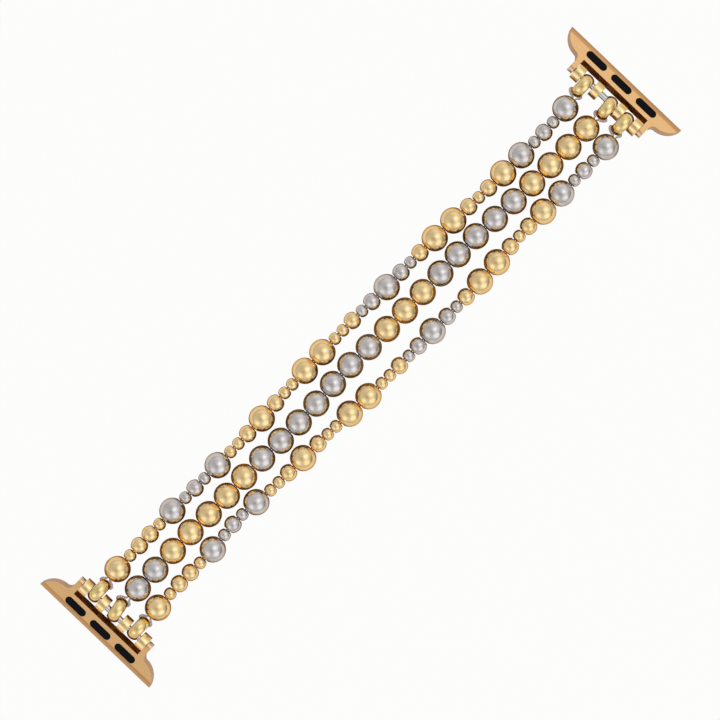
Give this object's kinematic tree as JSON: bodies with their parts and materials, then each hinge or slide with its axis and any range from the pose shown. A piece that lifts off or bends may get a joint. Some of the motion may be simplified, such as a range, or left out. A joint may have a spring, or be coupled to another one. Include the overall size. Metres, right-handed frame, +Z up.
{
  "type": "stretch watch band",
  "caption": "Stretch watch band of three strands of gold and silver coloured beads on elastic cord, with a slide-in case adapter and spring bar at each end.",
  "frame": {"origin": "middle of the band on the surface that it lies on", "axes": "+X along the band from end A to end B, +Y across it along the spring bars, +Z up, towards the side that lies on the wrist"},
  "size_m": [0.176, 0.0344, 0.006],
  "materials": {
    "gold_bead": "polished plating",
    "silver_bead": "polished plating",
    "ring": "polished",
    "spacer": "polished",
    "adapter": "satin rose gold plating",
    "pad": "matte",
    "spring_bar": "bright",
    "cord": "clear elastic"
  },
  "bodies": {
    "beads_01": {"beads_01_gold": "gold_bead", "beads_01_silver": "silver_bead", "rings_a": "ring"},
    "beads_02": {"beads_02_gold": "gold_bead", "beads_02_silver": "silver_bead"},
    "beads_03": {"beads_03_gold": "gold_bead", "beads_03_silver": "silver_bead"},
    "beads_04": {"beads_04_gold": "gold_bead", "beads_04_silver": "silver_bead"},
    "beads_05": {"beads_05_gold": "gold_bead", "beads_05_silver": "silver_bead"},
    "beads_06": {"beads_06_gold": "gold_bead", "beads_06_silver": "silver_bead"},
    "beads_07": {"beads_07_gold": "gold_bead", "beads_07_silver": "silver_bead"},
    "beads_08": {"beads_08_gold": "gold_bead", "beads_08_silver": "silver_bead"},
    "beads_09": {"beads_09_gold": "gold_bead", "beads_09_silver": "silver_bead", "cord_top": "cord", "cord_centre": "cord", "cord_bottom": "cord"},
    "beads_10": {"beads_10_gold": "gold_bead", "beads_10_silver": "silver_bead"},
    "beads_11": {"beads_11_gold": "gold_bead", "beads_11_silver": "silver_bead"},
    "beads_12": {"beads_12_gold": "gold_bead", "beads_12_silver": "silver_bead"},
    "beads_13": {"beads_13_gold": "gold_bead", "beads_13_silver": "silver_bead"},
    "beads_14": {"beads_14_gold": "gold_bead", "beads_14_silver": "silver_bead"},
    "beads_15": {"beads_15_gold": "gold_bead", "beads_15_silver": "silver_bead"},
    "beads_16": {"beads_16_gold": "gold_bead"},
    "beads_17": {"beads_17_gold": "gold_bead", "beads_17_silver": "silver_bead"},
    "beads_18": {"beads_18_gold": "gold_bead", "beads_18_silver": "silver_bead", "rings_b": "ring"},
    "adapter_a": {"adapter_a": "adapter", "pads_a": "pad", "bar_tube_a": "spring_bar", "bar_spring_a": "spring_bar"},
    "bar_tip_a1": {"bar_tip_a1": "spring_bar"},
    "bar_tip_a2": {"bar_tip_a2": "spring_bar"},
    "spacer_a1": {"spacer_a1": "spacer"},
    "spacer_a2": {"spacer_a2": "spacer"},
    "spacer_a3": {"spacer_a3": "spacer"},
    "spacer_a4": {"spacer_a4": "spacer"},
    "adapter_b": {"adapter_b": "adapter", "pads_b": "pad", "bar_tube_b": "spring_bar", "bar_spring_b": "spring_bar"},
    "bar_tip_b1": {"bar_tip_b1": "spring_bar"},
    "bar_tip_b2": {"bar_tip_b2": "spring_bar"},
    "spacer_b1": {"spacer_b1": "spacer"},
    "spacer_b2": {"spacer_b2": "spacer"},
    "spacer_b3": {"spacer_b3": "spacer"},
    "spacer_b4": {"spacer_b4": "spacer"}
  },
  "joints": [
    {"name": "stretch_1", "type": "slide", "parent": "beads_02", "child": "beads_01", "axis": [-1, 0, 0], "range_m": [0, 0.0035], "deforming": ["cord_top", "cord_centre", "cord_bottom"]},
    {"name": "curl_1", "type": "hinge", "parent": "beads_03", "child": "beads_02", "pos_m": [-0.06209, 0, 0.00302], "axis": [0, 1, 0], "range_deg": [-20, 20], "deforming": ["cord_top", "cord_centre", "cord_bottom"]},
    {"name": "stretch_2", "type": "slide", "parent": "beads_04", "child": "beads_03", "axis": [-1, 0, 0], "range_m": [0, 0.0035], "deforming": ["cord_top", "cord_centre", "cord_bottom"]},
    {"name": "curl_2", "type": "hinge", "parent": "beads_05", "child": "beads_04", "pos_m": [-0.04439, 0, 0.00302], "axis": [0, 1, 0], "range_deg": [-20, 20], "deforming": ["cord_top", "cord_centre", "cord_bottom"]},
    {"name": "stretch_3", "type": "slide", "parent": "beads_06", "child": "beads_05", "axis": [-1, 0, 0], "range_m": [0, 0.0035], "deforming": ["cord_top", "cord_centre", "cord_bottom"]},
    {"name": "curl_3", "type": "hinge", "parent": "beads_07", "child": "beads_06", "pos_m": [-0.03313, 0, 0.00302], "axis": [0, 1, 0], "range_deg": [-20, 20], "deforming": ["cord_top", "cord_centre", "cord_bottom"]},
    {"name": "stretch_4", "type": "slide", "parent": "beads_08", "child": "beads_07", "axis": [-1, 0, 0], "range_m": [0, 0.0035], "stiffness_N_per_m": 40, "deforming": ["cord_top", "cord_centre", "cord_bottom"]},
    {"name": "curl_4", "type": "hinge", "parent": "beads_09", "child": "beads_08", "pos_m": [-0.01509, 0, 0.00302], "axis": [0, 1, 0], "range_deg": [-20, 20], "deforming": ["cord_top", "cord_centre", "cord_bottom"]},
    {"name": "curl_5", "type": "hinge", "parent": "beads_09", "child": "beads_10", "pos_m": [0.00201, 0, 0.00302], "axis": [0, -1, 0], "range_deg": [-20, 20], "deforming": ["cord_top", "cord_centre", "cord_bottom"]},
    {"name": "stretch_5", "type": "slide", "parent": "beads_10", "child": "beads_11", "axis": [1, 0, 0], "range_m": [0, 0.0035], "deforming": ["cord_top", "cord_centre", "cord_bottom"]},
    {"name": "curl_6", "type": "hinge", "parent": "beads_11", "child": "beads_12", "pos_m": [0.01535, 0, 0.00302], "axis": [0, -1, 0], "range_deg": [-20, 20], "deforming": ["cord_top", "cord_centre", "cord_bottom"]},
    {"name": "stretch_6", "type": "slide", "parent": "beads_12", "child": "beads_13", "axis": [1, 0, 0], "range_m": [0, 0.0035], "deforming": ["cord_top", "cord_centre", "cord_bottom"]},
    {"name": "curl_7", "type": "hinge", "parent": "beads_13", "child": "beads_14", "pos_m": [0.03157, 0, 0.00302], "axis": [0, -1, 0], "range_deg": [-20, 20], "deforming": ["cord_top", "cord_centre", "cord_bottom"]},
    {"name": "stretch_7", "type": "slide", "parent": "beads_14", "child": "beads_15", "axis": [1, 0, 0], "range_m": [0, 0.0035], "deforming": ["cord_top", "cord_centre", "cord_bottom"]},
    {"name": "curl_8", "type": "hinge", "parent": "beads_15", "child": "beads_16", "pos_m": [0.04857, 0, 0.00302], "axis": [0, -1, 0], "range_deg": [-20, 20], "deforming": ["cord_top", "cord_centre", "cord_bottom"]},
    {"name": "stretch_8", "type": "slide", "parent": "beads_16", "child": "beads_17", "axis": [1, 0, 0], "range_m": [0, 0.0035], "deforming": ["cord_top", "cord_centre", "cord_bottom"]},
    {"name": "curl_9", "type": "hinge", "parent": "beads_17", "child": "beads_18", "pos_m": [0.06636, 0, 0.00302], "axis": [0, -1, 0], "range_deg": [-20, 20], "deforming": ["cord_top", "cord_centre", "cord_bottom"]},
    {"name": "adapter_a_swing", "type": "hinge", "parent": "beads_01", "child": "adapter_a", "pos_m": [-0.08119, 0, 0.00302], "axis": [0, 1, 0], "range_deg": [-30, 75]},
    {"name": "tip_a1_press", "type": "slide", "parent": "adapter_a", "child": "bar_tip_a1", "axis": [0, -1, 0], "range_m": [0, 0.00103], "stiffness_N_per_m": 150, "deforming": ["bar_spring_a"]},
    {"name": "tip_a2_press", "type": "slide", "parent": "adapter_a", "child": "bar_tip_a2", "axis": [0, 1, 0], "range_m": [0, 0.00103], "stiffness_N_per_m": 150, "deforming": ["bar_spring_a"]},
    {"name": "spacer_a1_spin", "type": "hinge", "parent": "adapter_a", "child": "spacer_a1", "pos_m": [-0.08119, 0, 0.00302], "axis": [0, 1, 0], "continuous": true},
    {"name": "spacer_a2_spin", "type": "hinge", "parent": "adapter_a", "child": "spacer_a2", "pos_m": [-0.08119, 0, 0.00302], "axis": [0, 1, 0], "continuous": true},
    {"name": "spacer_a3_spin", "type": "hinge", "parent": "adapter_a", "child": "spacer_a3", "pos_m": [-0.08119, 0, 0.00302], "axis": [0, 1, 0], "continuous": true},
    {"name": "spacer_a4_spin", "type": "hinge", "parent": "adapter_a", "child": "spacer_a4", "pos_m": [-0.08119, 0, 0.00302], "axis": [0, 1, 0], "continuous": true},
    {"name": "adapter_b_swing", "type": "hinge", "parent": "beads_18", "child": "adapter_b", "pos_m": [0.08119, 0, 0.00302], "axis": [0, -1, 0], "range_deg": [-30, 75]},
    {"name": "tip_b1_press", "type": "slide", "parent": "adapter_b", "child": "bar_tip_b1", "axis": [0, -1, 0], "range_m": [0, 0.00103], "stiffness_N_per_m": 150, "deforming": ["bar_spring_b"]},
    {"name": "tip_b2_press", "type": "slide", "parent": "adapter_b", "child": "bar_tip_b2", "axis": [0, 1, 0], "range_m": [0, 0.00103], "stiffness_N_per_m": 150, "deforming": ["bar_spring_b"]},
    {"name": "spacer_b1_spin", "type": "hinge", "parent": "adapter_b", "child": "spacer_b1", "pos_m": [0.08119, 0, 0.00302], "axis": [0, 1, 0], "continuous": true},
    {"name": "spacer_b2_spin", "type": "hinge", "parent": "adapter_b", "child": "spacer_b2", "pos_m": [0.08119, 0, 0.00302], "axis": [0, 1, 0], "continuous": true},
    {"name": "spacer_b3_spin", "type": "hinge", "parent": "adapter_b", "child": "spacer_b3", "pos_m": [0.08119, 0, 0.00302], "axis": [0, 1, 0], "continuous": true},
    {"name": "spacer_b4_spin", "type": "hinge", "parent": "adapter_b", "child": "spacer_b4", "pos_m": [0.08119, 0, 0.00302], "axis": [0, 1, 0], "continuous": true}
  ],
  "couplings": [
    {"joint": "stretch_1", "follows": "stretch_4", "ratio": 1},
    {"joint": "stretch_2", "follows": "stretch_4", "ratio": 1},
    {"joint": "stretch_3", "follows": "stretch_4", "ratio": 1},
    {"joint": "stretch_5", "follows": "stretch_4", "ratio": 1},
    {"joint": "stretch_6", "follows": "stretch_4", "ratio": 1},
    {"joint": "stretch_7", "follows": "stretch_4", "ratio": 1},
    {"joint": "stretch_8", "follows": "stretch_4", "ratio": 1}
  ]
}
